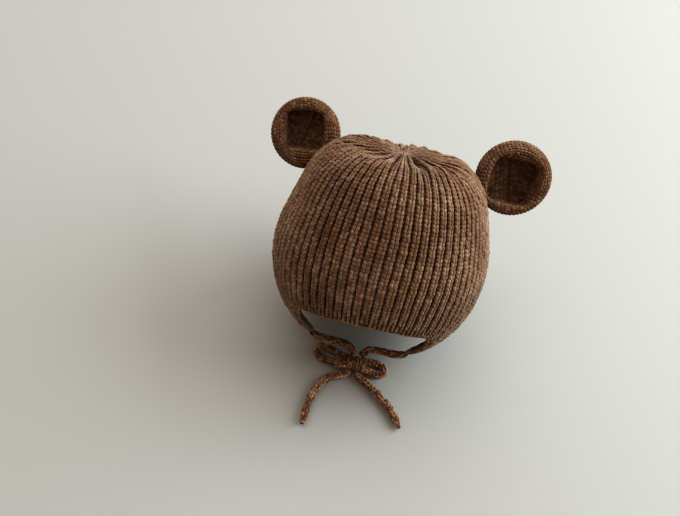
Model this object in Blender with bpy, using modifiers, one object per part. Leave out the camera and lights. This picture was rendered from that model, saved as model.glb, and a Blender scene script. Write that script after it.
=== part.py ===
"""Baby's rib-knit hat with bear ears and a chin tie.

The frame has its origin at the top of the head that wears the hat, +Z up and the wearer's face toward -Y.
The crown and the ears are worked out about the middle of that head, in angles: "down" is measured from
the gathered middle of the crown and "around" from the front of the hat, positive toward +X.
"""

import math

import bmesh
import bpy
from mathutils import Matrix, Vector

# The head that the hat fits, and how the hat sits on it.
HEAD_RADIUS = 0.071
HEAD_CLEARANCE = 0.0002
HAT_TILT = math.radians(36)
SIT_ASKEW = 0.0012
ASKEW_FADES_DOWN = (55, 100)

# The knitted wall of the crown. Pairs of degrees down from the gather say where a form starts and ends.
WALL = 0.0022
RIB_COUNT = 74
RIB_RELIEF = 0.0012
RIBS_RISE_DOWN = (6, 24)
SHOULDER_SLACK = 0.0100
PUCKER_COUNT = 9
PUCKER_RELIEF = 0.0016
PUCKERS_RISE_DOWN = (2, 9)
PUCKERS_FADE_DOWN = (14, 28)
CROWN_ROWS = 13
TOP_ROW_CROWDING = 1.35

# Slack of the crown over the head: degrees down from the gather, share of SHOULDER_SLACK.
SLACK_ROWS = (
    (0, 0.05),
    (6, 0.08),
    (13, 0.19),
    (18, 0.27),
    (21, 0.38),
    (24, 0.60),
    (27, 0.81),
    (30, 0.94),
    (35, 1.00),
    (41, 0.94),
    (47, 0.77),
    (53, 0.51),
    (60, 0.22),
    (66, 0.08),
    (73, 0.0),
    (180, 0.0),
)

# The lower edge: degrees around from the front, degrees down from the gather. Each ear flap runs to a point.
EDGE_ROWS = (
    (0, 113.5),
    (13, 114),
    (26, 116),
    (38, 117.6),
    (45, 120.5),
    (50, 128),
    (55, 138),
    (62, 146.5),
    (68, 150.6),
    (74, 150.8),
    (80, 147.5),
    (87, 141),
    (95, 133),
    (103, 125.5),
    (112, 119.5),
    (124, 117.5),
    (180, 117.5),
)

# Where the gather pulls one deep groove down the back of the crown, in degrees.
GROOVE_AROUND = -169
GROOVE_HALF_WIDTH = 15
GROOVE_FADES_DOWN = (14, 24)

# The ears: cups of knit with a thick rolled rim and four mitred creases inside.
EAR_RIM_ROLL = 0.0048
EAR_CUP_DEPTH = 0.0125
EAR_CUP_WALL = 0.0042
EAR_CREASE_SHARE = 0.09
EAR_SEGMENTS = 28
EAR_ARC_RINGS = 5
# Name, degrees around, degrees down, radius, stand of its middle off the crown's skin, degrees of nod.
EARS = (
    ("ear_left", -108, 47.7, 0.0243, 0.0168, 0),
    ("ear_right", 106.5, 50.5, 0.0262, 0.0232, 10),
)
SEAM_GAP = 0.0003
MERGE_DISTANCE = 0.00005

# The knitted cord of the chin tie, and the overhand knot of its bow.
CORD_DIAMETER = 0.0062
KNOT_MIDDLE = (0.0006, -0.0542, -0.1361)
KNOT_HALF_SIZE = (0.0068, 0.0066, 0.0059)
KNOT_SQUARENESS = 0.7

# Routes of the cords' middles: a tie runs from its flap into the knot, a loop out of the knot and back, and a
# tail out of the knot to its bare tip. The knot trims what runs into it.
CORD_ROUTES = {
    "tie_left": (
        (-0.0340, -0.0479, -0.1172),
        (-0.0292, -0.0476, -0.1210),
        (-0.0234, -0.0456, -0.1254),
        (-0.0172, -0.0435, -0.1289),
        (-0.0108, -0.0429, -0.1305),
        (-0.0056, -0.0443, -0.1305),
        (-0.0027, -0.0492, -0.1318),
    ),
    "tie_right": (
        (0.0340, -0.0479, -0.1172),
        (0.0292, -0.0476, -0.1210),
        (0.0236, -0.0456, -0.1254),
        (0.0176, -0.0435, -0.1289),
        (0.0116, -0.0429, -0.1305),
        (0.0068, -0.0443, -0.1305),
        (0.0039, -0.0492, -0.1318),
    ),
    "bow_loop_left": (
        (-0.0048, -0.0571, -0.1348),
        (-0.0084, -0.0570, -0.1354),
        (-0.0136, -0.0563, -0.1377),
        (-0.0200, -0.0552, -0.1388),
        (-0.0258, -0.0528, -0.1389),
        (-0.0291, -0.0486, -0.1389),
        (-0.0282, -0.0440, -0.1389),
        (-0.0238, -0.0422, -0.1389),
        (-0.0180, -0.0436, -0.1386),
        (-0.0130, -0.0468, -0.1378),
        (-0.0084, -0.0498, -0.1366),
        (-0.0048, -0.0509, -0.1361),
    ),
    "bow_loop_right": (
        (0.0056, -0.0509, -0.1361),
        (0.0094, -0.0503, -0.1367),
        (0.0138, -0.0492, -0.1379),
        (0.0186, -0.0492, -0.1387),
        (0.0219, -0.0520, -0.1389),
        (0.0219, -0.0560, -0.1389),
        (0.0185, -0.0586, -0.1387),
        (0.0136, -0.0583, -0.1377),
        (0.0094, -0.0573, -0.1356),
        (0.0056, -0.0571, -0.1348),
    ),
    "tail_left": (
        (-0.0026, -0.0590, -0.1384),
        (-0.0029, -0.0618, -0.1389),
        (-0.0076, -0.0648, -0.1389),
        (-0.0132, -0.0690, -0.1389),
        (-0.0188, -0.0750, -0.1389),
        (-0.0235, -0.0826, -0.1389),
        (-0.0260, -0.0910, -0.1389),
        (-0.0265, -0.0998, -0.1389),
        (-0.0261, -0.1080, -0.1389),
    ),
    "tail_right": (
        (0.0040, -0.0590, -0.1384),
        (0.0042, -0.0618, -0.1389),
        (0.0096, -0.0648, -0.1389),
        (0.0166, -0.0692, -0.1389),
        (0.0236, -0.0746, -0.1389),
        (0.0304, -0.0807, -0.1389),
        (0.0364, -0.0874, -0.1389),
        (0.0403, -0.0942, -0.1389),
    ),
}
CORD_STEPS_PER_POINT = 2


def empty_scene():
    for item in list(bpy.data.objects):
        bpy.data.objects.remove(item, do_unlink=True)


def wool(name, colour, roughness):
    material = bpy.data.materials.new(name)
    material.use_nodes = True
    shader = material.node_tree.nodes["Principled BSDF"]
    shader.inputs["Base Color"].default_value = (*colour, 1)
    shader.inputs["Roughness"].default_value = roughness
    shader.inputs["Metallic"].default_value = 0
    return material


def new_object(name, data, collection, parent=None, material=None):
    item = bpy.data.objects.new(name, data)
    collection.objects.link(item)
    item.parent = parent
    if material:
        data.materials.append(material)
    return item


def smooth_share(value, start, end):
    share = min(1, max(0, (value - start) / (end - start)))
    return share * share * (3 - 2 * share)


def between_rows(rows, value):
    for (low, at_low), (high, at_high) in zip(rows, rows[1:], strict=False):
        if value <= high:
            return at_low + (at_high - at_low) * (value - low) / (high - low)
    return rows[-1][1]


def ridge(around, count):
    """1 on the back of each ridge and 0 in the furrows between, for this many ridges round the hat."""
    return (1 + math.cos(math.radians(count * around))) / 2


def slack(around, down):
    """How far the knit stands off the head, with the one deep groove left out of it."""
    turned = abs((around - GROOVE_AROUND + 180) % 360 - 180)
    beside = smooth_share(turned, 0, GROOVE_HALF_WIDTH)
    below = smooth_share(down, *GROOVE_FADES_DOWN)
    return SHOULDER_SLACK * between_rows(SLACK_ROWS, down) * max(beside, below)


def crown_skin(around, down, lift=0.0):
    """A point of the crown's outer skin, about the middle of the head, with +Z through the gather."""
    ribs = RIB_RELIEF * smooth_share(down, *RIBS_RISE_DOWN) * ridge(around, RIB_COUNT)
    gathered = smooth_share(down, *PUCKERS_RISE_DOWN) * (1 - smooth_share(down, *PUCKERS_FADE_DOWN))
    puckers = PUCKER_RELIEF * gathered * ridge(around, PUCKER_COUNT)
    reach = HEAD_RADIUS + HEAD_CLEARANCE + WALL + slack(around, down) + ribs + puckers + lift
    a, d = math.radians(around), math.radians(down)
    askew = SIT_ASKEW * (1 - smooth_share(down, *ASKEW_FADES_DOWN))
    return Vector(
        (
            reach * math.sin(d) * math.sin(a) + askew,
            -reach * math.sin(d) * math.cos(a),
            reach * math.cos(d),
        )
    )


def angles_of(point):
    """Degrees around from the front, and the share of the way down a unit sphere."""
    around = math.degrees(math.atan2(point.x, -point.y))
    return around, math.acos(max(-1, min(1, point.z))) / math.pi


def crown_sheet(lift):
    """A unit sphere of two columns to a rib, laid over the crown's skin and open below its edge."""
    sheet = bmesh.new()
    rings = CROWN_ROWS + 1
    bmesh.ops.create_uvsphere(sheet, u_segments=2 * RIB_COUNT, v_segments=rings, radius=1)
    lowest = min(sheet.verts, key=lambda v: v.co.z)
    bmesh.ops.delete(sheet, geom=[lowest], context="VERTS")
    for vert in sheet.verts:
        around, share = angles_of(vert.co)
        share *= rings / CROWN_ROWS
        down = between_rows(EDGE_ROWS, abs(around)) * share**TOP_ROW_CROWDING
        vert.co = crown_skin(around, down, lift)
    return sheet


def mesh_from(sheet, name):
    mesh = bpy.data.meshes.new(name)
    sheet.to_mesh(mesh)
    sheet.free()
    mesh.shade_smooth()
    return mesh


def make_crown(collection, hat, material):
    """The crown, its ribs, its gathered top and both ear flaps are knitted as one wall."""
    mesh = mesh_from(crown_sheet(0), "crown")
    crown = new_object("crown", mesh, collection, hat, material)
    thicken = crown.modifiers.new("knitted wall", "SOLIDIFY")
    thicken.thickness = WALL
    thicken.offset = -1


def as_cutter(item):
    item.hide_render = True
    item.display_type = "WIRE"
    return item


def make_seat(collection, hat):
    """A body a seam's gap outside the crown's skin, closed to the head's middle, for the ears' feet."""
    sheet = crown_sheet(SEAM_GAP)
    edge = [item for item in sheet.edges if item.is_boundary]
    inward = bmesh.ops.extrude_edge_only(sheet, edges=edge)["geom"]
    corners = [item for item in inward if isinstance(item, bmesh.types.BMVert)]
    bmesh.ops.pointmerge(sheet, verts=corners, merge_co=(0, 0, 0))
    bmesh.ops.recalc_face_normals(sheet, faces=sheet.faces)
    return new_object("ear_seat_cutter", mesh_from(sheet, "ear_seat_cutter"), collection, hat)


def ear_section(radius, share):
    """Radius and height of the cup's section: from 0 at the floor's middle, over the rim from 1 to 2, to 3 at
    the middle of the back."""
    inner = radius - 2 * EAR_RIM_ROLL
    floor = EAR_CUP_DEPTH - EAR_RIM_ROLL
    part = min(int(share), 2)
    angle = (share - part) * math.pi / 2
    if part == 0:
        return inner * math.sin(angle), -floor * math.cos(angle)
    if part == 1:
        roll = math.pi - 2 * angle
        return radius + EAR_RIM_ROLL * (math.cos(roll) - 1), EAR_RIM_ROLL * math.sin(roll)
    return radius * math.cos(angle), -(floor + EAR_CUP_WALL) * math.sin(angle)


def ear_placing(around, down, stand, nod):
    """An ear's place about the head's middle and its turn: +Y away from the head, +Z out of its cup."""
    skin = HEAD_RADIUS + HEAD_CLEARANCE + WALL + slack(around, down) + RIB_RELIEF
    a, d = math.radians(around), math.radians(down)
    outward = Vector((math.sin(d) * math.sin(a), -math.sin(d) * math.cos(a), math.cos(d)))
    front = Vector((0, -1, 0))
    facing = (front - outward * front.dot(outward)).normalized()
    turn = Matrix((outward.cross(facing), outward, facing)).transposed()
    place = outward * (skin + stand) + Vector((SIT_ASKEW, 0, 0))
    return Matrix.Translation(place) @ (Matrix.Rotation(math.radians(nod), 3, "X") @ turn).to_4x4()


def make_ear(name, radius, placing, collection, hat, cutter, material):
    cup = bmesh.new()
    bmesh.ops.create_uvsphere(cup, u_segments=EAR_SEGMENTS, v_segments=3 * EAR_ARC_RINGS, radius=1)
    for vert in cup.verts:
        around, share = angles_of(vert.co)
        across, height = ear_section(radius, 3 * share)
        inside = 1 - smooth_share(3 * share, 1, 1.5)
        across *= 1 - EAR_CREASE_SHARE * inside * math.cos(math.radians(4 * around))
        a = math.radians(around)
        vert.co = Vector((across * math.sin(a), -across * math.cos(a), height))
    ear = new_object(name, mesh_from(cup, name), collection, hat, material)
    ear.matrix_local = placing
    seat = ear.modifiers.new("seat on the crown", "BOOLEAN")
    seat.object = cutter
    seat.operation = "DIFFERENCE"


def along_route(points, steps):
    """Points of the smooth curve through a route's own points."""
    route = [Vector(p) for p in points]
    ends = [2 * route[0] - route[1], *route, 2 * route[-1] - route[-2]]
    curve = []
    for before, start, end, after in zip(ends, ends[1:], ends[2:], ends[3:], strict=False):
        for step in range(steps):
            t = step / steps
            curve.append(
                0.5
                * (
                    2 * start
                    + (end - before) * t
                    + (2 * before - 5 * start + 4 * end - after) * t**2
                    + (3 * start - 3 * end + after - before) * t**3
                )
            )
    return [*curve, route[-1]]


def make_cord(name, points, collection, knot_cutter, material):
    """A cord as a closed mesh tube, cut off a seam's gap short of the knot."""
    curve = bpy.data.curves.new(name, "CURVE")
    curve.dimensions = "3D"
    curve.bevel_depth = CORD_DIAMETER / 2
    curve.bevel_resolution = 2
    curve.use_fill_caps = True
    places = along_route(points, CORD_STEPS_PER_POINT)
    spline = curve.splines.new("POLY")
    spline.points.add(len(places) - 1)
    for point, place in zip(spline.points, places, strict=True):
        point.co = (*place, 1)
    guide = new_object(name + "_guide", curve, collection)

    graph = bpy.context.evaluated_depsgraph_get()
    tube = bmesh.new()
    tube.from_mesh(bpy.data.meshes.new_from_object(guide.evaluated_get(graph)))
    bmesh.ops.remove_doubles(tube, verts=tube.verts, dist=MERGE_DISTANCE)
    bpy.data.objects.remove(guide, do_unlink=True)
    cord = new_object(name, mesh_from(tube, name), collection, None, material)
    trim = cord.modifiers.new("trim at the knot", "BOOLEAN")
    trim.object = knot_cutter
    trim.operation = "DIFFERENCE"


def make_knot(name, lift, collection, material=None):
    """The overhand knot, a rounded block that the ties, loops and tails run into."""
    lump = bmesh.new()
    bmesh.ops.create_uvsphere(lump, u_segments=16, v_segments=10, radius=1)
    for vert in lump.verts:
        squared = [math.copysign(abs(c) ** KNOT_SQUARENESS, c) for c in vert.co]
        vert.co = Vector([c * (half + lift) for c, half in zip(squared, KNOT_HALF_SIZE, strict=True)])
    knot = new_object(name, mesh_from(lump, name), collection, None, material)
    knot.location = KNOT_MIDDLE
    return knot


def build():
    empty_scene()
    parts = bpy.data.collections.new("baby_hat_with_ears")
    cutters = bpy.data.collections.new("cutters")
    bpy.context.scene.collection.children.link(parts)
    bpy.context.scene.collection.children.link(cutters)

    hat = new_object("hat_about_head_middle", None, parts)
    hat.location = (0, 0, -HEAD_RADIUS)
    hat.rotation_euler = (-HAT_TILT, 0, 0)

    make_crown(parts, hat, wool("crown_wool", (0.115, 0.057, 0.030), 0.9))
    seat_cutter = as_cutter(make_seat(cutters, hat))
    ear_wool = wool("ear_wool", (0.100, 0.047, 0.024), 0.9)
    for name, around, down, radius, stand, nod in EARS:
        placing = ear_placing(around, down, stand, nod)
        make_ear(name, radius, placing, parts, hat, seat_cutter, ear_wool)

    cord_wool = wool("cord_wool", (0.105, 0.050, 0.026), 0.9)
    make_knot("knot", 0, parts, cord_wool)
    knot_cutter = as_cutter(make_knot("knot_cutter", SEAM_GAP, cutters))
    for name, points in CORD_ROUTES.items():
        make_cord(name, points, parts, knot_cutter, cord_wool)


build()
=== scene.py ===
import math

import bmesh
import bpy
import numpy as np
from mathutils import Matrix, Vector


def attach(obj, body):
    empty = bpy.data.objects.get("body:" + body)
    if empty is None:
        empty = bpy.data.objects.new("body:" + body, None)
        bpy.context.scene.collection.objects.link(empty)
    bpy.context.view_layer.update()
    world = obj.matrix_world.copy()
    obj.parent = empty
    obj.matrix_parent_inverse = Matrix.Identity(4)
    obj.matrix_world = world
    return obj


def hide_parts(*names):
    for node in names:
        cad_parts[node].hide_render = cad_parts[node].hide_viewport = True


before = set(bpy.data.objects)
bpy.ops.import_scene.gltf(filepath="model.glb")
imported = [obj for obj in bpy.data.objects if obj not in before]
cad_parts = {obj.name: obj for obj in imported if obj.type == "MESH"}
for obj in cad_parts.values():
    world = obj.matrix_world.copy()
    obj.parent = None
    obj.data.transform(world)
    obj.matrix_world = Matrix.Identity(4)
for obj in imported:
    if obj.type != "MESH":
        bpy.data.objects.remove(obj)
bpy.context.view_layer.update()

# ---------------------------------------------------------------- the view
# The hat is seen from above and in front, with the picture rolled a little. The eye is three
# quarters of a metre from the middle of the head that the hat fits.
HEAD_MIDDLE = Vector((0, 0, -0.071))
EYE_AWAY = 0.75
EYE_UP = math.radians(55)
EYE_ROLL = math.radians(13)
PICTURE_PIXELS = 680
SENSOR_WIDTH = 36
FOCAL_PIXELS = 1083
MIDDLE_RIGHT_OF_CENTRE = 40 / FOCAL_PIXELS
MIDDLE_ABOVE_CENTRE = 6 / FOCAL_PIXELS

toward_eye = Vector((0, -math.cos(EYE_UP), math.sin(EYE_UP)))
level_up = Vector((0, math.sin(EYE_UP), math.cos(EYE_UP)))
right = math.cos(EYE_ROLL) * Vector((1, 0, 0)) + math.sin(EYE_ROLL) * level_up
upward = math.cos(EYE_ROLL) * level_up - math.sin(EYE_ROLL) * Vector((1, 0, 0))
forward = (-toward_eye - MIDDLE_RIGHT_OF_CENTRE * right - MIDDLE_ABOVE_CENTRE * upward).normalized()
right = (right - forward * right.dot(forward)).normalized()
upward = right.cross(forward)

eye = bpy.data.objects.new("eye", bpy.data.cameras.new("eye"))
bpy.context.scene.collection.objects.link(eye)
eye.data.sensor_width = SENSOR_WIDTH
eye.data.lens = FOCAL_PIXELS / PICTURE_PIXELS * SENSOR_WIDTH
eye.data.clip_start = 0.05
eye.matrix_world = Matrix.Translation(HEAD_MIDDLE + EYE_AWAY * toward_eye) @ Matrix(
    (right, upward, -forward)
).transposed().to_4x4()
bpy.context.scene.camera = eye

# ---------------------------------------------------------------- ties and tails
# Four knitted cords of brown wool, each four columns of stitches round. A tie leaves the point
# of each ear flap for the bow, and a tail runs out of the bow on each side to its bare tip.
CORD_DIAMETER = 0.0062
CORD_WALES = 4
CORD_COURSE = 0.0029
CORD_YARN = 0.0018
CORD_CORE = 0.0020
CORD_STEPS_PER_POINT = 6
CORD_LEG_REACH = 1.3
CORD_FOOT_TURN = 0.16
CORD_LEG_TURN = 0.38
CORD_HEAD_TURN = 0.60
LEG_BULGE = 0.16
LEG_BACK = 0.66
CORD_ROUTES = {
    "tie_left": (
        (-0.0338, -0.0477, -0.1148),
        (-0.0340, -0.0479, -0.1172),
        (-0.0292, -0.0476, -0.1210),
        (-0.0234, -0.0456, -0.1254),
        (-0.0172, -0.0435, -0.1289),
        (-0.0108, -0.0429, -0.1305),
        (-0.0056, -0.0443, -0.1305),
        (-0.0027, -0.0492, -0.1318),
    ),
    "tie_right": (
        (0.0338, -0.0477, -0.1148),
        (0.0340, -0.0479, -0.1172),
        (0.0292, -0.0476, -0.1210),
        (0.0236, -0.0456, -0.1254),
        (0.0176, -0.0435, -0.1289),
        (0.0116, -0.0429, -0.1305),
        (0.0068, -0.0443, -0.1305),
        (0.0039, -0.0492, -0.1318),
    ),
    "tail_left": (
        (-0.0026, -0.0590, -0.1384),
        (-0.0040, -0.0619, -0.1389),
        (-0.0090, -0.0643, -0.1389),
        (-0.0146, -0.0680, -0.1389),
        (-0.0192, -0.0732, -0.1389),
        (-0.0224, -0.0792, -0.1389),
        (-0.0244, -0.0862, -0.1389),
        (-0.0255, -0.0944, -0.1389),
        (-0.0258, -0.1015, -0.1389),
        (-0.0260, -0.1080, -0.1389),
    ),
    "tail_right": (
        (0.0040, -0.0590, -0.1384),
        (0.0042, -0.0618, -0.1389),
        (0.0096, -0.0648, -0.1389),
        (0.0166, -0.0692, -0.1389),
        (0.0236, -0.0746, -0.1389),
        (0.0304, -0.0807, -0.1389),
        (0.0364, -0.0874, -0.1389),
        (0.0403, -0.0942, -0.1389),
    ),
}


def wool(name, dark, mid, light, sheen, tone_and_shade_strength):
    """Brown wool yarn: a mottled colour that differs from stitch to stitch and is darker where the tone
    attribute carries painted shade, plies and loose fibres.
    """
    made = bpy.data.materials.new(name)
    made.use_nodes = True
    nodes, links = made.node_tree.nodes, made.node_tree.links
    shader = nodes["Principled BSDF"]
    shader.inputs["Roughness"].default_value = 0.92
    shader.inputs["Specular IOR Level"].default_value = 0.18
    shader.inputs["Sheen Weight"].default_value = sheen
    shader.inputs["Sheen Roughness"].default_value = 0.45
    shader.inputs["Sheen Tint"].default_value = (0.84, 0.79, 0.65, 1)

    place = nodes.new("ShaderNodeTexCoord")
    blotch = nodes.new("ShaderNodeTexNoise")
    blotch.inputs["Scale"].default_value = 45
    blotch.inputs["Detail"].default_value = 3
    links.new(place.outputs["Object"], blotch.inputs["Vector"])
    fleck = nodes.new("ShaderNodeTexNoise")
    fleck.inputs["Scale"].default_value = 900
    fleck.inputs["Detail"].default_value = 4
    links.new(place.outputs["Object"], fleck.inputs["Vector"])
    tone_and_shade = nodes.new("ShaderNodeAttribute")
    tone_and_shade.attribute_name = "tone_and_shade"

    # The tone attribute holds a random tone for each stitch plus painted shade; both are scaled together
    # here.
    own = nodes.new("ShaderNodeMath")
    own.operation = "MULTIPLY_ADD"
    own.inputs[1].default_value = tone_and_shade_strength
    links.new(tone_and_shade.outputs["Fac"], own.inputs[0])
    shared = nodes.new("ShaderNodeMath")
    shared.operation = "MULTIPLY_ADD"
    shared.inputs[1].default_value = 0.42
    links.new(blotch.outputs["Fac"], shared.inputs[0])
    fine = nodes.new("ShaderNodeMath")
    fine.operation = "MULTIPLY"
    fine.inputs[1].default_value = 0.36
    links.new(fleck.outputs["Fac"], fine.inputs[0])
    links.new(fine.outputs[0], shared.inputs[2])
    links.new(shared.outputs[0], own.inputs[2])
    ramp = nodes.new("ShaderNodeValToRGB")
    ramp.color_ramp.elements[0].position = 0.16
    ramp.color_ramp.elements[0].color = (*dark, 1)
    ramp.color_ramp.elements[1].position = 0.86
    ramp.color_ramp.elements[1].color = (*light, 1)
    ramp.color_ramp.elements.new(0.5).color = (*mid, 1)
    links.new(own.outputs[0], ramp.inputs["Fac"])
    links.new(ramp.outputs["Color"], shader.inputs["Base Color"])

    along = nodes.new("ShaderNodeUVMap")
    along.uv_map = "yarn"
    ply = nodes.new("ShaderNodeTexWave")
    ply.wave_type = "BANDS"
    ply.bands_direction = "DIAGONAL"
    ply.inputs["Scale"].default_value = 0.62
    ply.inputs["Distortion"].default_value = 0.6
    links.new(along.outputs["UV"], ply.inputs["Vector"])
    relief = nodes.new("ShaderNodeMath")
    relief.operation = "MULTIPLY_ADD"
    relief.inputs[1].default_value = 0.5
    links.new(ply.outputs["Fac"], relief.inputs[0])
    links.new(fleck.outputs["Fac"], relief.inputs[2])
    bump = nodes.new("ShaderNodeBump")
    bump.inputs["Strength"].default_value = 0.55
    bump.inputs["Distance"].default_value = 0.0004
    links.new(relief.outputs[0], bump.inputs["Height"])
    links.new(bump.outputs["Normal"], shader.inputs["Normal"])
    return made


def yarn_leg(sides, rings):
    """One leg of a stitch: a plump grain of yarn of unit length, width and height, lying along Z."""
    grain = bmesh.new()
    bmesh.ops.create_uvsphere(grain, u_segments=sides, v_segments=rings, radius=0.5)
    for vert in grain.verts:
        vert.co.y += LEG_BULGE * (1 - 4 * vert.co.z**2)
    grain.faces.ensure_lookup_table()
    grain.verts.ensure_lookup_table()
    corners = np.array([v.co for v in grain.verts])
    faces = [[v.index for v in f.verts] for f in grain.faces]
    around = []
    for face in grain.faces:
        middle = face.calc_center_median()
        near = math.atan2(middle.y, middle.x) / math.tau
        for vert in face.verts:
            own = math.atan2(vert.co.y, vert.co.x) / math.tau if abs(vert.co.z) < 0.49 else near
            around.append((vert.co.z * 4, (own - near + 0.5) % 1 - 0.5 + near))
    grain.free()
    return corners, faces, np.array(around)


PLUMP_LEG, SLIM_LEG = yarn_leg(6, 5), yarn_leg(5, 4)


def stitched(name, feet, heads, outward, width, height, seed, material, leg=PLUMP_LEG):
    """A mesh of yarn legs, each from its foot to its head, with its back turned outward."""
    leg_corners, leg_faces, leg_uv = leg
    count = len(feet)
    rng = np.random.default_rng(seed)
    along = heads - feet
    long = np.linalg.norm(along, axis=1, keepdims=True)
    along = along / long
    side = np.cross(along, outward)
    side /= np.linalg.norm(side, axis=1, keepdims=True)
    out = np.cross(side, along)
    middle = (feet + heads) / 2
    width = np.broadcast_to(width, (count,)) * rng.uniform(0.92, 1.08, count)
    height = np.broadcast_to(height, (count,))
    x, y, z = leg_corners.T
    places = (
        middle[:, None]
        + side[:, None] * (x[None, :] * width[:, None])[..., None]
        + out[:, None] * (y[None, :] * height[:, None])[..., None]
        + along[:, None] * (z[None, :] * long)[..., None]
    )
    sizes = np.array([len(f) for f in leg_faces])
    corners = np.concatenate(leg_faces)
    loops = (corners[None, :] + len(leg_corners) * np.arange(count)[:, None]).ravel()
    mesh = bpy.data.meshes.new(name)
    mesh.vertices.add(count * len(leg_corners))
    mesh.vertices.foreach_set("co", places.astype(np.float32).ravel())
    mesh.loops.add(len(loops))
    mesh.loops.foreach_set("vertex_index", loops.astype(np.int32))
    mesh.polygons.add(count * len(sizes))
    starts = np.concatenate([[0], np.cumsum(np.tile(sizes, count))[:-1]])
    mesh.polygons.foreach_set("loop_start", starts.astype(np.int32))
    mesh.update(calc_edges=True)
    tone_and_shade_layer = mesh.attributes.new("tone_and_shade", "FLOAT", "POINT")
    # Each leg is coloured darker towards its underside as painted shade, on top of a random tone for each
    # stitch.
    shade = np.clip(1.9 * leg_corners[:, 1] - 0.05, -1.0, 0)
    tone_and_shade_layer.data.foreach_set("value", (rng.random(count)[:, None] + shade).astype(np.float32).ravel())
    uv = np.tile(leg_uv, (count, 1, 1)) + rng.random((count, 1, 2)) * 3
    mesh.uv_layers.new(name="yarn").data.foreach_set("uv", uv.astype(np.float32).ravel())
    mesh.shade_smooth()
    mesh.materials.append(material)
    made = bpy.data.objects.new(name, mesh)
    bpy.context.scene.collection.objects.link(made)
    return made


def joined(name, *items):
    """One piece of several, with the first one's name and place."""
    with bpy.context.temp_override(active_object=items[0], selected_editable_objects=list(items)):
        bpy.ops.object.join()
    items[0].name = name
    return items[0]


def along_route(points, steps):
    """Points of the smooth curve through a route's own points."""
    route = [Vector(p) for p in points]
    ends = [2 * route[0] - route[1], *route, 2 * route[-1] - route[-2]]
    curve = []
    for before, start, end, after in zip(ends, ends[1:], ends[2:], ends[3:], strict=False):
        for step in range(steps):
            t = step / steps
            curve.append(
                0.5
                * (
                    2 * start
                    + (end - before) * t
                    + (2 * before - 5 * start + 4 * end - after) * t**2
                    + (3 * start - 3 * end + after - before) * t**3
                )
            )
    return [*curve, route[-1]]


def cord_core(name, line, radii, material):
    """The inside of a knitted cord, coloured darker as painted shade: a ring of corners carried along its
    line.
    """
    core = bmesh.new()
    previous, across = None, None
    for index, place in enumerate(line):
        onward = (line[min(index + 1, len(line) - 1)] - line[max(index - 1, 0)]).normalized()
        if across is None:
            across = onward.cross(Vector((0, 0, 1))).normalized()
        across = (across - onward * across.dot(onward)).normalized()
        turn = Matrix((across, onward.cross(across), onward)).transposed().to_4x4()
        ring = bmesh.ops.create_circle(
            core, cap_ends=index in (0, len(line) - 1), segments=10, radius=radii[index],
            matrix=Matrix.Translation(place) @ turn,
        )["verts"]
        edges = [e for e in {e for v in ring for e in v.link_edges}]
        if previous:
            bmesh.ops.bridge_loops(core, edges=previous + edges)
        previous = edges
    bmesh.ops.recalc_face_normals(core, faces=core.faces)
    mesh = bpy.data.meshes.new(name)
    core.to_mesh(mesh)
    core.free()
    # The whole core is coloured darker as painted shade between the stitches.
    tone_and_shade_layer = mesh.attributes.new("tone_and_shade", "FLOAT", "POINT")
    tone_and_shade_layer.data.foreach_set("value", np.full(len(mesh.vertices), -0.5, np.float32))
    mesh.uv_layers.new(name="yarn")
    mesh.shade_smooth()
    mesh.materials.append(material)
    made = bpy.data.objects.new(name, mesh)
    bpy.context.scene.collection.objects.link(made)
    return made


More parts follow.
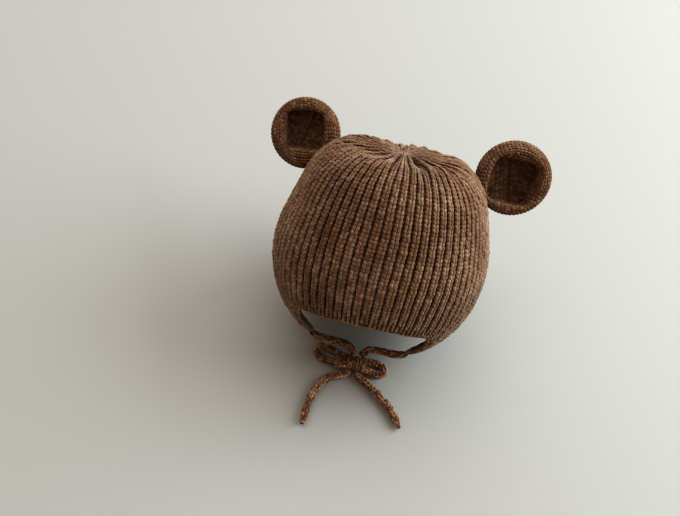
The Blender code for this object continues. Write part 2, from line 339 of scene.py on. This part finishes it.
def knitted_cord(name, line, seed, material, drawn_start=0.0, drawn_end=0.0):
    """A cord knitted in the round: columns of stitches round a core, along the line."""
    places = np.array([p[:] for p in line])
    lengths = np.concatenate([[0], np.cumsum(np.linalg.norm(np.diff(places, axis=0), axis=1))])
    tangents = np.gradient(places, axis=0)
    tangents /= np.linalg.norm(tangents, axis=1, keepdims=True)
    across = np.zeros_like(places)
    across[0] = np.cross(tangents[0], (0, 0, 1))
    for i in range(1, len(places)):
        across[i] = across[i - 1]
        across[i] -= tangents[i] * (across[i] @ tangents[i])
        across[i] /= np.linalg.norm(across[i])
    across[0] /= np.linalg.norm(across[0])

    def on_cord(distance, turn, radius):
        """Places and outward directions at this distance along the cord and this turn round it."""
        distance = np.clip(distance, 0, lengths[-1])
        middle, tangent, side = (
            np.stack([np.interp(distance, lengths, a[:, k]) for k in range(3)], 1)
            for a in (places, tangents, across)
        )
        up = np.cross(tangent, side)
        out = side * np.cos(turn)[:, None] + up * np.sin(turn)[:, None]
        out /= np.linalg.norm(out, axis=1, keepdims=True)
        return middle + out * np.asarray(radius)[:, None], out

    def thinner(distance):
        """Share of the full thickness here: a cord is drawn in where it is sewn on or bound off."""
        at_start = np.clip(distance / max(drawn_start, 1e-9), 0, 1)
        at_end = np.clip((lengths[-1] - distance) / max(drawn_end, 1e-9), 0, 1)
        return 0.4 + 0.6 * np.where(drawn_start, at_start, 1) * np.where(drawn_end, at_end, 1)

    courses = max(3, round(lengths[-1] / CORD_COURSE))
    step = lengths[-1] / courses
    yarn_middle = CORD_DIAMETER / 2 - LEG_BACK * CORD_YARN
    feet, heads, outward, thick = [], [], [], []
    for side in (-1, 1):
        course, wale = np.meshgrid(np.arange(courses), np.arange(CORD_WALES), indexing="ij")
        course, wale = course.ravel(), wale.ravel()
        turn = math.tau * (wale + 0.5) / CORD_WALES
        low = course * step
        high = low + CORD_LEG_REACH * step
        taper = thinner(low)
        foot, _ = on_cord(low, turn + side * CORD_FOOT_TURN, yarn_middle * taper)
        head, _ = on_cord(high, turn + side * CORD_HEAD_TURN, yarn_middle * taper)
        _, out = on_cord((low + high) / 2, turn + side * CORD_LEG_TURN, yarn_middle * taper)
        feet.append(foot)
        heads.append(head)
        outward.append(out)
        thick.append(CORD_YARN * taper)
    thick = np.concatenate(thick)
    legs = stitched(
        name, np.concatenate(feet), np.concatenate(heads), np.concatenate(outward),
        thick, thick, seed, material,
    )
    radii = CORD_CORE * thinner(lengths)
    core = cord_core(name + "_core", [Vector(p) for p in places], radii, material)
    return joined(name, legs, core)


cord_wool = wool(
    "cord_wool", (0.042, 0.013, 0.006), (0.165, 0.088, 0.049), (0.430, 0.300, 0.210), 0.18, 0.40
)
CORD_LINES = {name: along_route(points, CORD_STEPS_PER_POINT) for name, points in CORD_ROUTES.items()}
for number, (name, line) in enumerate(CORD_LINES.items()):
    drawn = (0.0, 0.008) if name.startswith("tail") else (0.004, 0.0)
    cord = knitted_cord(name + "_knit", line, 11 + number, cord_wool, *drawn)
    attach(cord, "root")
    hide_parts(name)

# ---------------------------------------------------------------- the bow
# The two ties are bowed: two flat loops of the same knitted cord, and a knot whose three turns
# are wound tight round the place where they cross.
BOW_ROUTES = {
    "bow_loop_left": (
        (-0.0048, -0.0571, -0.1348),
        (-0.0084, -0.0570, -0.1354),
        (-0.0136, -0.0563, -0.1377),
        (-0.0200, -0.0552, -0.1388),
        (-0.0258, -0.0528, -0.1389),
        (-0.0293, -0.0492, -0.1388),
        (-0.0286, -0.0462, -0.1380),
        (-0.0244, -0.0455, -0.1374),
        (-0.0186, -0.0468, -0.1372),
        (-0.0132, -0.0484, -0.1370),
        (-0.0084, -0.0498, -0.1366),
        (-0.0048, -0.0509, -0.1361),
    ),
    "bow_loop_right": (
        (0.0056, -0.0509, -0.1361),
        (0.0094, -0.0503, -0.1367),
        (0.0138, -0.0492, -0.1379),
        (0.0186, -0.0492, -0.1387),
        (0.0219, -0.0520, -0.1389),
        (0.0221, -0.0553, -0.1389),
        (0.0186, -0.0574, -0.1387),
        (0.0136, -0.0576, -0.1377),
        (0.0094, -0.0573, -0.1356),
        (0.0056, -0.0571, -0.1348),
    ),
}
KNOT_MIDDLE = Vector((0.0006, -0.0542, -0.1361))
KNOT_HALF_WIDTH = 0.0062
KNOT_HALF_DEPTH = 0.0058
KNOT_HALF_HEIGHT = 0.0052
KNOT_TURNS = 3
KNOT_STEPS = 24
KNOT_LEAN = 0.0009
KNOT_SUNK = 0.34

for number, (name, points) in enumerate(BOW_ROUTES.items()):
    line = along_route(points, CORD_STEPS_PER_POINT)
    loop = knitted_cord(name + "_knit", line, 31 + number, cord_wool)
    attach(loop, "root")
    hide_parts(name)

turns = []
for number in range(KNOT_TURNS):
    off_middle = (number - (KNOT_TURNS - 1) / 2) * 2
    across = off_middle * (KNOT_HALF_WIDTH - CORD_DIAMETER / 3) / (KNOT_TURNS - 1)
    wound = []
    for step in range(KNOT_STEPS + 1):
        angle = math.tau * step / KNOT_STEPS
        wound.append(
            KNOT_MIDDLE
            + Vector(
                (
                    across + KNOT_LEAN * math.sin(angle),
                    (KNOT_HALF_DEPTH - CORD_DIAMETER * KNOT_SUNK) * math.cos(angle),
                    (KNOT_HALF_HEIGHT - CORD_DIAMETER * KNOT_SUNK) * math.sin(angle),
                )
            )
        )
    turns.append(knitted_cord("knot_turn", wound, 41 + number, cord_wool))
knot = joined("knot_wound", *turns)
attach(knot, "root")
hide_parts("knot")

# ---------------------------------------------------------------- crown
# One piece of rib knitting in brown wool, from the edge up to the gathered middle of the top,
# with both ear flaps knitted on. Each rib is one column of stitches with a sunken one beside it.
HAT_TILT = math.radians(36)
HEAD_RADIUS = 0.0712
SIT_ASKEW = 0.0012
WALL = 0.0022
RIBS = 74
RIB_PITCH_RADIUS = 0.075
COURSE = 0.0027
COURSES_BELOW_BACK_EDGE = 16
TOP_COURSE_DOWN = 4.5
BACK_EDGE_DOWN = 117.5
BACKING_ROWS = 66
BACKING_THICKNESS = 0.0009
CROWN_PARTS = 4
SHOULDER_SLACK = 0.0100
SLACK_ROWS = np.array(
    [
        (0, 0.05), (6, 0.08), (13, 0.19), (18, 0.27), (21, 0.38), (24, 0.60), (27, 0.81), (30, 0.94),
        (35, 1.00), (41, 0.94), (47, 0.77), (53, 0.51), (60, 0.22), (66, 0.08), (73, 0), (180, 0),
    ]
)
EDGE_ROWS = np.array(
    [
        (0, 113.5), (13, 114), (26, 116), (38, 117.6), (45, 120.5), (50, 128), (55, 138), (62, 146.5),
        (68, 150.6), (74, 150.8), (80, 147.5), (87, 141), (95, 133), (103, 125.5), (112, 119.5),
        (124, 117.5), (180, 117.5),
    ]
)
GROOVE_AROUND = -169
GROOVE_HALF_WIDTH = 15
PLEATS = 25
FINE_DEGREES = np.arange(0, 180.5, 0.5)


def rounded(rows, width):
    """A short table as a smooth line of half degrees."""
    line = np.interp(FINE_DEGREES, rows[:, 0], rows[:, 1])
    weights = np.hanning(2 * width + 3)[1:-1]
    return np.convolve(np.pad(line, width, "edge"), weights / weights.sum(), "valid")


SLACK_LINE = rounded(SLACK_ROWS, 6)
EDGE_LINE = rounded(EDGE_ROWS, 5)
hat_turn = np.array(Matrix.Rotation(-HAT_TILT, 3, "X"))


def smooth_share(value, start, end):
    """0 before start, 1 after end, with an even start and stop."""
    share = np.clip((value - start) / (end - start), 0, 1)
    return share * share * (3 - 2 * share)


def bell(value, middle, width):
    return np.exp(-(((value - middle) / width) ** 2))


def drawn_together(down):
    """How far the ribs are bunched into pleats: most round the gather, not at all lower down."""
    return smooth_share(down, 2, 18) * (1 - smooth_share(down, 20, 40))


def crown_point(around, down, lift):
    """Points of the crown's skin, by degrees round from the front and down from the gather."""
    turned = np.abs((around - GROOVE_AROUND + 180) % 360 - 180)
    kept = np.maximum(smooth_share(turned, 0, GROOVE_HALF_WIDTH), smooth_share(down, 14, 24))
    behind = around % 360
    sagging = 1 - 0.34 * (smooth_share(behind, 118, 134) - smooth_share(behind, 195, 240))
    slack = SHOULDER_SLACK * np.interp(down, FINE_DEGREES, SLACK_LINE) * kept * sagging
    turn = np.radians(around)
    ahead = (around + 180) % 360 - 180
    folds = (
        0.0027 * bell(ahead, 0, 12) * bell(down, 15, 10)
        - 0.0026 * bell(ahead, 22 - (down - 12) * 0.55, 6) * bell(down, 17, 9)
        + 0.0019 * bell(ahead, 36, 11) * bell(down, 24, 11)
        - 0.0010 * bell(ahead, 62, 11) * bell(down, 19, 9)
        - 0.0010 * bell(ahead, -26, 9) * bell(down, 16, 8)
        + 0.0012 * bell(ahead, 158, 15) * bell(down, 19, 6)
        - 0.0016 * bell(down, 0, 9)
        - 0.0028 * bell(behind, 198, 36) * bell(down, 14, 9)
        - 0.0020 * bell(behind, 190, 6) * bell(down, 26, 7)
    )
    pleats = 0.0013 * drawn_together(down) * (1 + 0.3 * np.sin(3 * turn)) * np.cos(PLEATS * turn)
    pleats = pleats * (1 - 0.9 * bell(behind, 188, 42) * (1 - smooth_share(down, 18, 27)))
    slump = 0.0006 * np.sin(2.3 * np.radians(down) + 1.7 * turn) * smooth_share(down, 30, 60)
    reach = HEAD_RADIUS + WALL + slack + folds + pleats + slump * np.sin(turn) ** 2 + lift
    a, d = turn, np.radians(down)
    askew = SIT_ASKEW * (1 - smooth_share(down, 55, 100))
    own = np.stack(
        [reach * np.sin(d) * np.sin(a) + askew, -reach * np.sin(d) * np.cos(a), reach * np.cos(d)], -1
    )
    return own @ hat_turn.T + np.array(HEAD_MIDDLE)


def rib_around(rib, down):
    """Degrees round of a place counted in ribs: the ribs lie wider apart in front and behind, high up."""
    even = np.asarray(rib) * 360 / RIBS
    fan = 0.138 * (1 - np.clip((down - 60) / 50, 0, 1)) * smooth_share(down, 8, 30)
    spread = even + np.degrees(fan * np.sin(np.radians(2 * even)) / 2)
    bunched = 0.34 * drawn_together(down) * (1 - 0.9 * bell(spread % 360, 187, 22))
    return spread - bunched * 360 / RIBS * np.sin(PLEATS * np.radians(spread))


def edge_down(around):
    return np.interp(np.abs((around + 180) % 360 - 180), FINE_DEGREES, EDGE_LINE)


down_table = np.arange(1, 156, 0.25)
meridian = crown_point(np.full_like(down_table, 20.0), down_table, 0)
walked = np.concatenate([[0], np.cumsum(np.linalg.norm(np.diff(meridian, axis=0), axis=1))])
bottom = np.interp(BACK_EDGE_DOWN, down_table, walked)


def course_down(course):
    """Degrees down of a course, counted upward from the edge behind."""
    return np.interp(bottom - np.asarray(course) * COURSE, walked, down_table)


top_course = int((bottom - np.interp(TOP_COURSE_DOWN, down_table, walked)) / COURSE)
crown_wool = wool(
    "crown_wool", (0.043, 0.010, 0.004), (0.168, 0.095, 0.057), (0.385, 0.304, 0.218), 0.44, 0.19
)

ribs, courses = np.meshgrid(
    np.arange(RIBS), np.arange(-COURSES_BELOW_BACK_EDGE, top_course), indexing="ij"
)
ribs, courses = ribs.ravel().astype(float), courses.ravel().astype(float)
rng = np.random.default_rng(5)
knit = [[] for _ in range(CROWN_PARTS)]
for inside in (False, True):
    rib = ribs + (0.5 if inside else 0)
    foot_down = course_down(courses)
    head_down = course_down(courses + 1.6)
    above_edge = edge_down(rib_around(rib, foot_down)) - foot_down
    pitch = math.tau * RIB_PITCH_RADIUS * np.sin(np.radians(foot_down)) / RIBS
    wide = np.clip(0.46 * pitch, 0.0004, 0.0029)
    flat = 1 - smooth_share(above_edge, 3.0, 6.5)
    wander = 0.03 * np.sin(rib * 12.9 + courses * 0.31) + 0.02 * rng.standard_normal(len(rib))
    bulge = 0.00015 * rng.standard_normal(len(rib))
    for side in (-1, 1):
        foot_rib = rib + wander + side * (0.085 + 0.12 * flat)
        head_rib = rib + wander + side * (0.475 - wide / pitch / 2 + 0.03 * flat)
        level = (-0.0021 if inside else -0.0003) + bulge
        foot = crown_point(rib_around(foot_rib, foot_down), foot_down, level + 0.0003)
        head = crown_point(rib_around(head_rib, head_down), head_down, level - 0.0002)
        high = crown_point(rib_around(rib + side * 0.34, foot_down), foot_down, 0.004)
        low = crown_point(rib_around(rib + side * 0.10, foot_down), foot_down, 0)
        thick = wide * (1 - 0.25 * flat)
        tall = np.clip(wide * 0.95, 0.0006, 0.0025) * (0.7 if inside else 1)
        for part in range(CROWN_PARTS):
            pick = (above_edge > 0.3) & (ribs // math.ceil(RIBS / CROWN_PARTS) == part)
            knit[part].append(
                stitched(
                    f"crown_knit_{part + 1}", foot[pick], head[pick],
                    (low - high)[pick] if inside else (high - low)[pick],
                    thick[pick], tall[pick], 51 + part + 4 * inside + 8 * (side > 0), crown_wool,
                    SLIM_LEG if inside else PLUMP_LEG,
                )
            )
knit = [joined(f"crown_knit_{part + 1}", *legs) for part, legs in enumerate(knit)]

edge_turn = np.arange(0, 360, 360 / (3 * RIBS)) - 180
edge_foot = crown_point(edge_turn, edge_down(edge_turn) - 0.4, -0.0006)
edge_head = crown_point(edge_turn + 2.4, edge_down(edge_turn + 2.4) - 1.0, -0.0004)
edge_high = crown_point(edge_turn + 1, edge_down(edge_turn + 1) + 1.2, 0.0015)
edge_out = edge_high - (edge_foot + edge_head) / 2
edge_yarn = stitched("crown_edge", edge_foot, edge_head, edge_out, 0.0015, 0.0017, 61, crown_wool)
knit[0] = joined("crown_knit_1", knit[0], edge_yarn)

sheet = bmesh.new()
bmesh.ops.create_uvsphere(sheet, u_segments=4 * RIBS, v_segments=BACKING_ROWS + 1, radius=1)
bmesh.ops.delete(sheet, geom=[min(sheet.verts, key=lambda v: v.co.z)], context="VERTS")
verts = list(sheet.verts)
unit = np.array([v.co for v in verts])
rib_place = np.degrees(np.arctan2(unit[:, 0], -unit[:, 1])) / 360 * RIBS
share = np.arccos(np.clip(unit[:, 2], -1, 1)) / math.pi * (BACKING_ROWS + 1) / BACKING_ROWS
down = share * edge_down(rib_place / RIBS * 360)
around = rib_around(rib_place, down)
furrow = (1 - np.cos(math.tau * rib_place)) / 2 * smooth_share(down, 1, 9)
near_edge = 1 - smooth_share(edge_down(around) - down, 2, 7)
middle = 1 - smooth_share(down, 4, 8)
width = math.tau * RIB_PITCH_RADIUS * np.sin(np.radians(down)) / RIBS
between = np.minimum(0.0007, (0.25 + 0.35 * middle) * width)
sunk = -np.minimum(0.0010, 0.32 * width) - between * furrow * (1 - near_edge)
for vert, place in zip(verts, crown_point(around, down, sunk), strict=True):
    vert.co = place
mesh = bpy.data.meshes.new("crown_backing")
sheet.to_mesh(mesh)
sheet.free()
mesh.shade_smooth()
# The backing is coloured darker as painted shade in the sunken columns, less so near the edge; round the
# gather it is lighter, with painted shade in its furrows.
tone_and_shade_layer = mesh.attributes.new("tone_and_shade", "FLOAT", "POINT")
shade = -0.75 + 0.95 * near_edge + (0.7 - 1.2 * furrow) * middle
tone_and_shade_layer.data.foreach_set("value", shade.astype(np.float32))
course_count = (bottom - np.interp(down, down_table, walked)) / COURSE
corners = np.zeros(len(mesh.loops), np.int32)
mesh.loops.foreach_get("vertex_index", corners)
rungs = np.stack([np.abs(rib_place) * 0.02, course_count], -1)[corners]
mesh.uv_layers.new(name="yarn").data.foreach_set("uv", rungs.astype(np.float32).ravel())
mesh.materials.append(crown_wool)
backing = bpy.data.objects.new("crown_backing", mesh)
bpy.context.scene.collection.objects.link(backing)
thicken = backing.modifiers.new("knitted wall", "SOLIDIFY")
thicken.thickness = BACKING_THICKNESS
thicken.offset = -1
for piece in (*knit, backing):
    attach(piece, "root")
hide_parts("crown")

# ---------------------------------------------------------------- ears
# Two cups knitted in brown wool from four panels that meet in mitres, with a thick rolled rim.
# Each is sewn to the crown by the part of its rim and back that touches it.
EAR_RIM_ROLL = 0.0048
EAR_CUP_DEPTH = 0.0140
EAR_CUP_WALL = 0.0027
EAR_COLUMN = 0.0033
EAR_COURSE = 0.0027
EAR_SQUARENESS = 5.0
EAR_SUNK = 0.0005
EAR_BACK_STEEPNESS = 2.6
EAR_FLOOR_SHARE = 0.66
EAR_FLOOR_SLANT = 0.4
EAR_SKIN = 0.0012
EAR_SEATED = 0.0010
# Name, degrees around and down the crown, radius, stand off its skin, nod, turn of the corners,
# steepness of the wall, turn of the floor's seam, seams in the wall, and the opening: the way it
# is moved, how far, and how much wider it is.
EARS = (
    ("ear_left", -108, 48.6, 0.0243, 0.0168, 0, 52, 4.5, 120, (), (150, 0.0028, 1.0)),
    ("ear_right", 106.5, 50.5, 0.0262, 0.0232, 10, 45, 3.2, 60, (60, 240), (33, 0.0030, 1.07)),
)


def ear_section(radius, steepness, share):
    """Radius and height of the cup's section: from 0 at the floor's middle, over the rim from 1 to
    2, to 3 at the middle of the back."""
    inner = radius - 2 * EAR_RIM_ROLL
    floor = EAR_CUP_DEPTH - EAR_RIM_ROLL
    part = np.minimum(share.astype(int), 2)
    angle = (share - part) * math.pi / 2
    roll = math.pi - 2 * angle
    steep, back = 2 / steepness, 2 / EAR_BACK_STEEPNESS
    across = np.choose(
        part,
        [
            inner * np.sin(angle) ** steep,
            radius + EAR_RIM_ROLL * (np.cos(roll) - 1),
            radius * np.cos(angle) ** back,
        ],
    )
    height = np.choose(
        part,
        [
            -(floor + EAR_SUNK) * np.cos(angle) ** steep,
            EAR_RIM_ROLL * np.sin(roll),
            -(floor + EAR_CUP_WALL) * np.sin(angle) ** back,
        ],
    )
    return across, height


def squared(around, corner_turn):
    """How much farther out the cup's wall stands here than if its opening were round."""
    side = np.radians(around - corner_turn)
    power = EAR_SQUARENESS
    return (np.abs(np.cos(side)) ** power + np.abs(np.sin(side)) ** power) ** (-1 / power) - 0.06


def ear_point(make, around, share, lift):
    """Points of an ear's skin, by degrees round its middle and share along its section."""
    radius, steepness, seams, opening, placing, corner_turn = make
    share = np.clip(share, 0, 2.9999)
    across, height = ear_section(radius, steepness, share)
    next_across, next_height = ear_section(radius, steepness, np.minimum(share + 0.01, 2.9999))
    last_across, last_height = ear_section(radius, steepness, np.maximum(share - 0.01, 0))
    run, climb = next_across - last_across, next_height - last_height
    long = np.hypot(run, climb) + 1e-12
    inside = 1 - smooth_share(share, 0.9, 1.7)
    to_corner = np.abs((around - corner_turn) % 90 - 45)
    crease = bell(np.radians(to_corner) * across, 0, 0.0016)
    for seam in seams:
        off_seam = np.radians((around - seam + 180) % 360 - 180) * across
        crease = crease + 2.0 * bell(off_seam, 0, 0.0014) - 0.8 * bell(off_seam, 0, 0.0052)
    lift = lift - 0.0014 * crease * smooth_share(share, 0.1, 0.5) * (1 - smooth_share(share, 1.2, 1.75))
    across = across * (1 + (squared(around, corner_turn) - 1) * inside)
    across = across - lift * climb / long
    height = height + lift * run / long
    toward, moved, wider = opening
    within = 1 - smooth_share(share, 0.75, 1.6)
    across = across * (1 + (wider - 1) * within)
    a, toward = np.radians(around), math.radians(toward)
    own = np.stack(
        [
            across * np.sin(a) + moved * within * math.sin(toward),
            -across * np.cos(a) - moved * within * math.cos(toward),
            height,
        ],
        -1,
    )
    turn, place = placing
    return own @ turn.T + place


ear_wool = wool(
    "ear_wool", (0.036, 0.010, 0.005), (0.136, 0.073, 0.041), (0.300, 0.200, 0.130), 0.16, 0.26
)
for number, (name, around_hat, down_hat, radius, stand, nod, *cup) in enumerate(EARS):
    corner_turn, steepness, grain, seams, opening = cup
    slack = SHOULDER_SLACK * np.interp(down_hat, SLACK_ROWS[:, 0], SLACK_ROWS[:, 1])
    skin = HEAD_RADIUS + WALL + slack + EAR_SKIN
    a, d = math.radians(around_hat), math.radians(down_hat)
    out = Vector((math.sin(d) * math.sin(a), -math.sin(d) * math.cos(a), math.cos(d)))
    front = Vector((0, -1, 0))
    facing = (front - out * front.dot(out)).normalized()
    upright = Matrix((out.cross(facing), out, facing)).transposed()
    set_on = Matrix.Rotation(math.radians(nod), 3, "X") @ upright
    place = out * (skin + stand) + Vector((SIT_ASKEW, 0, 0))
    placing = (hat_turn @ np.array(set_on), hat_turn @ np.array(place) + np.array(HEAD_MIDDLE))
    make = (radius, steepness, seams, opening, placing, corner_turn)

    share_table = np.linspace(0, 2.999, 600)
    section = np.stack(ear_section(radius, steepness, share_table), -1)
    walked_ear = np.concatenate([[0], np.cumsum(np.linalg.norm(np.diff(section, axis=0), axis=1))])
    feet, heads, outward, tall, broad = [], [], [], [], []
    for column in range(int(walked_ear[-1] / EAR_COLUMN)):
        middle = (column + 0.5) * EAR_COLUMN
        middle_share = np.interp(middle, walked_ear, share_table)
        if middle_share < EAR_FLOOR_SHARE:
            continue
        across, _ = ear_section(radius, steepness, np.array([middle_share]))
        count = max(4, round(math.tau * across[0] / EAR_COURSE))
        step = 360 / count
        turn = (np.arange(count) + 0.37 * column) * step
        for side in (-1, 1):
            foot_share = np.full(count, np.interp(middle + side * 0.00045, walked_ear, share_table))
            head_share = np.full(count, np.interp(middle + side * 0.00115, walked_ear, share_table))
            foot = ear_point(make, turn, foot_share, -0.0004)
            head = ear_point(make, turn + 1.4 * step, head_share, -0.0009)
            high = ear_point(make, turn + 0.7 * step, head_share, 0.003)
            low = ear_point(make, turn + 0.7 * step, foot_share, 0)
            feet.append(foot)
            heads.append(head)
            outward.append(high - low)
            tall.append(0.0008 + 0.0012 * smooth_share(foot_share, 0.7, 1.2))
            broad.append(0.0024 - 0.0005 * smooth_share(foot_share, 0.7, 1.2))
    grain = math.radians(grain)
    reach = radius - 2 * EAR_RIM_ROLL

    def on_floor(along, off, lift):
        """Points of the cup's floor, by the way along its middle seam and off it to one side."""
        along = along + EAR_FLOOR_SLANT * np.abs(off)
        x = along * math.sin(grain) + off * math.cos(grain)
        y = off * math.sin(grain) - along * math.cos(grain)
        around = np.degrees(np.arctan2(x, -y))
        inward = np.hypot(x, y) / (reach * squared(around, corner_turn))
        share = np.arcsin(np.clip(inward, 0, 1) ** (steepness / 2)) * 2 / math.pi
        return ear_point(make, around, share, lift), share

    for half in (-1, 1):
        along, off = np.meshgrid(
            np.arange(-1.6 * reach, 1.2 * reach, 0.8 * EAR_COLUMN), np.arange(0.2, 9) * EAR_COURSE
        )
        along, off = along.ravel(), half * off.ravel()
        onward = half * 1.4 * EAR_COURSE
        for side in (-1, 1):
            foot, foot_share = on_floor(along + side * 0.0004, off, -0.0004)
            head, head_share = on_floor(along + side * 0.0009, off + onward, -0.0008)
            high, _ = on_floor(along + side * 0.0009, off + onward / 2, 0.003)
            low, _ = on_floor(along + side * 0.0005, off + onward / 2, 0)
            near = np.linalg.norm(head - foot, axis=1) < 2.2 * EAR_COURSE
            on = (foot_share < EAR_FLOOR_SHARE + 0.1) & (head_share < EAR_FLOOR_SHARE + 0.2) & near
            feet.append(foot[on])
            heads.append(head[on])
            outward.append((high - low)[on])
            tall.append(np.full(on.sum(), 0.0014))
            broad.append(np.full(on.sum(), 0.0017))
    rows = (feet, heads, outward, broad, tall)
    feet, heads, outward, broad, tall = (np.concatenate(row) for row in rows)
    off_head = (feet + heads) / 2 - np.array(HEAD_MIDDLE) - hat_turn @ (SIT_ASKEW, 0, 0)
    kept = np.linalg.norm(off_head, axis=1) > skin - EAR_SEATED
    rows = (row[kept] for row in (feet, heads, outward, broad, tall))
    knit = stitched(name + "_legs", *rows, 71 + number, ear_wool)

    cup = bmesh.new()
    bmesh.ops.create_uvsphere(cup, u_segments=64, v_segments=60, radius=1)
    verts = list(cup.verts)
    unit = np.array([v.co for v in verts])
    turn = np.degrees(np.arctan2(unit[:, 0], -unit[:, 1]))
    share = 3 * np.arccos(np.clip(unit[:, 2], -1, 1)) / math.pi
    sunk = -0.0007 - 0.0004 * smooth_share(share, 0.7, 1.2)
    for vert, spot in zip(verts, ear_point(make, turn, share, sunk), strict=True):
        vert.co = spot
    bmesh.ops.recalc_face_normals(cup, faces=cup.faces)
    mesh = bpy.data.meshes.new(name + "_core")
    cup.to_mesh(mesh)
    cup.free()
    # The cup's core is coloured darker as painted shade between the stitches, less so on its floor.
    deep = 1 - smooth_share(share, 0.6, 1.2)
    tone_and_shade_layer = mesh.attributes.new("tone_and_shade", "FLOAT", "POINT")
    tone_and_shade_layer.data.foreach_set("value", (-0.5 + 0.6 * deep).astype(np.float32))
    mesh.uv_layers.new(name="yarn")
    mesh.shade_smooth()
    mesh.materials.append(ear_wool)
    core = bpy.data.objects.new(name + "_core", mesh)
    bpy.context.scene.collection.objects.link(core)
    ear = joined(name + "_knit", knit, core)
    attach(ear, "root")
    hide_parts(name)

# ---------------------------------------------------------------- floor and light
# A plain pale floor just under the cords. Three large soft lights stand to the right, behind
# and far to the left, the last one weak, in the warm light of a room.
FLOOR_HEIGHT = -0.1421
ground = bmesh.new()
bmesh.ops.create_grid(ground, x_segments=1, y_segments=1, size=3)
bmesh.ops.translate(ground, verts=ground.verts, vec=(0, 0, FLOOR_HEIGHT))
mesh = bpy.data.meshes.new("floor")
ground.to_mesh(mesh)
ground.free()
pale = bpy.data.materials.new("pale_floor")
pale.use_nodes = True
pale.node_tree.nodes["Principled BSDF"].inputs["Base Color"].default_value = (0.316, 0.322, 0.316, 1)
pale.node_tree.nodes["Principled BSDF"].inputs["Roughness"].default_value = 0.8
mesh.materials.append(pale)
floor = bpy.data.objects.new("floor", mesh)
bpy.context.scene.collection.objects.link(floor)


def soft_light(name, place, target, size, power, colour):
    lamp = bpy.data.objects.new(name, bpy.data.lights.new(name, "AREA"))
    bpy.context.scene.collection.objects.link(lamp)
    lamp.data.size = size
    lamp.data.energy = power
    lamp.data.color = colour
    lamp.location = place
    lamp.rotation_euler = (Vector(target) - Vector(place)).to_track_quat("-Z", "Y").to_euler()


soft_light("window", (1.15, 0.50, 0.62), (0, 0, -0.07), 1.3, 29, (0.91, 0.985, 1.0))
soft_light("room", (0.00, 1.20, 1.5), (0, 0, -0.10), 2.6, 28, (0.94, 0.98, 1.0))
soft_light("far_wall", (-0.6, 0.9, 1.7), (-0.15, 0, -0.14), 2.4, 10, (1.0, 0.97, 0.92))
world = bpy.data.worlds.new("room_air")
world.use_nodes = True
world.node_tree.nodes["Background"].inputs["Color"].default_value = (1.0, 0.82, 0.68, 1)
world.node_tree.nodes["Background"].inputs["Strength"].default_value = 0.50
bpy.context.scene.world = world
bpy.context.scene.view_settings.view_transform = "Standard"
bpy.context.scene.view_settings.look = "High Contrast"
